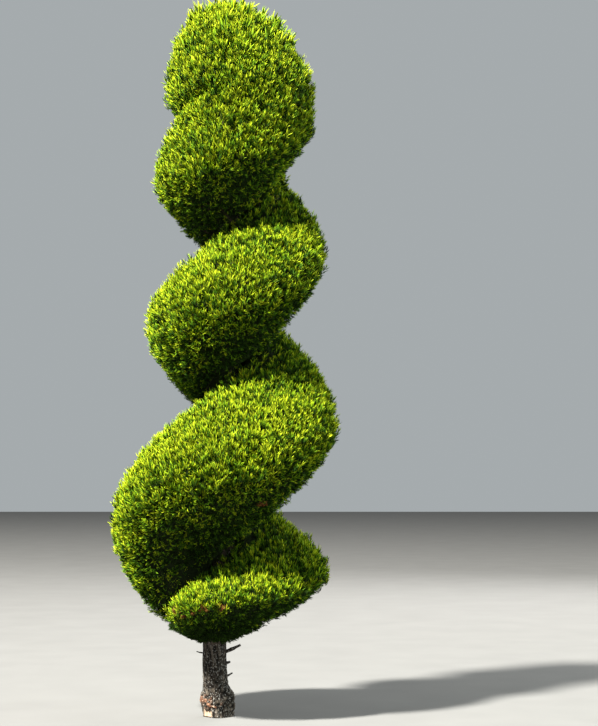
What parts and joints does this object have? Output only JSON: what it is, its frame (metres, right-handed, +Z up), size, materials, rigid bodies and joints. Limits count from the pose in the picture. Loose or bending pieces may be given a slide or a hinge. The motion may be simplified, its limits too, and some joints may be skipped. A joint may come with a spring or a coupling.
{
  "type": "spiral topiary tree",
  "caption": "Clipped conifer whose dense foliage winds up a short clear trunk as one rising spiral band and ends in a rounded dome.",
  "frame": {"origin": "centre of the flat cut under the trunk, at ground level", "axes": "+Z up along the tree, +X to the right and -Y towards the viewer of the picture"},
  "size_m": [0.9379, 0.9251, 3.0078],
  "materials": {
    "bark": "rough, fissured bark",
    "foliage": "soft matte evergreen sprays"
  },
  "bodies": {
    "root": {"trunk": "bark", "stub_long": "bark", "stub_knob": "bark", "stub_low": "bark", "stub_left": "bark", "bough_tier1_front": "bark", "tier1_front": "foliage", "bough_tier1_right": "bark", "tier1_right": "foliage", "bough_tier1_left": "bark", "tier1_left": "foliage", "bough_tier2_front": "bark", "tier2_front": "foliage", "bough_tier2_right": "bark", "tier2_right": "foliage", "bough_tier2_left": "bark", "tier2_left": "foliage", "bough_tier3_front": "bark", "tier3_front": "foliage", "bough_tier3_right": "bark", "tier3_right": "foliage", "bough_tier3_left": "bark", "tier3_left": "foliage", "bough_tier4_front": "bark", "tier4_front": "foliage", "bough_tier4_right": "bark", "tier4_right": "foliage", "bough_tier4_left": "bark", "tier4_left": "foliage", "top_dome": "foliage"}
  },
  "joints": []
}
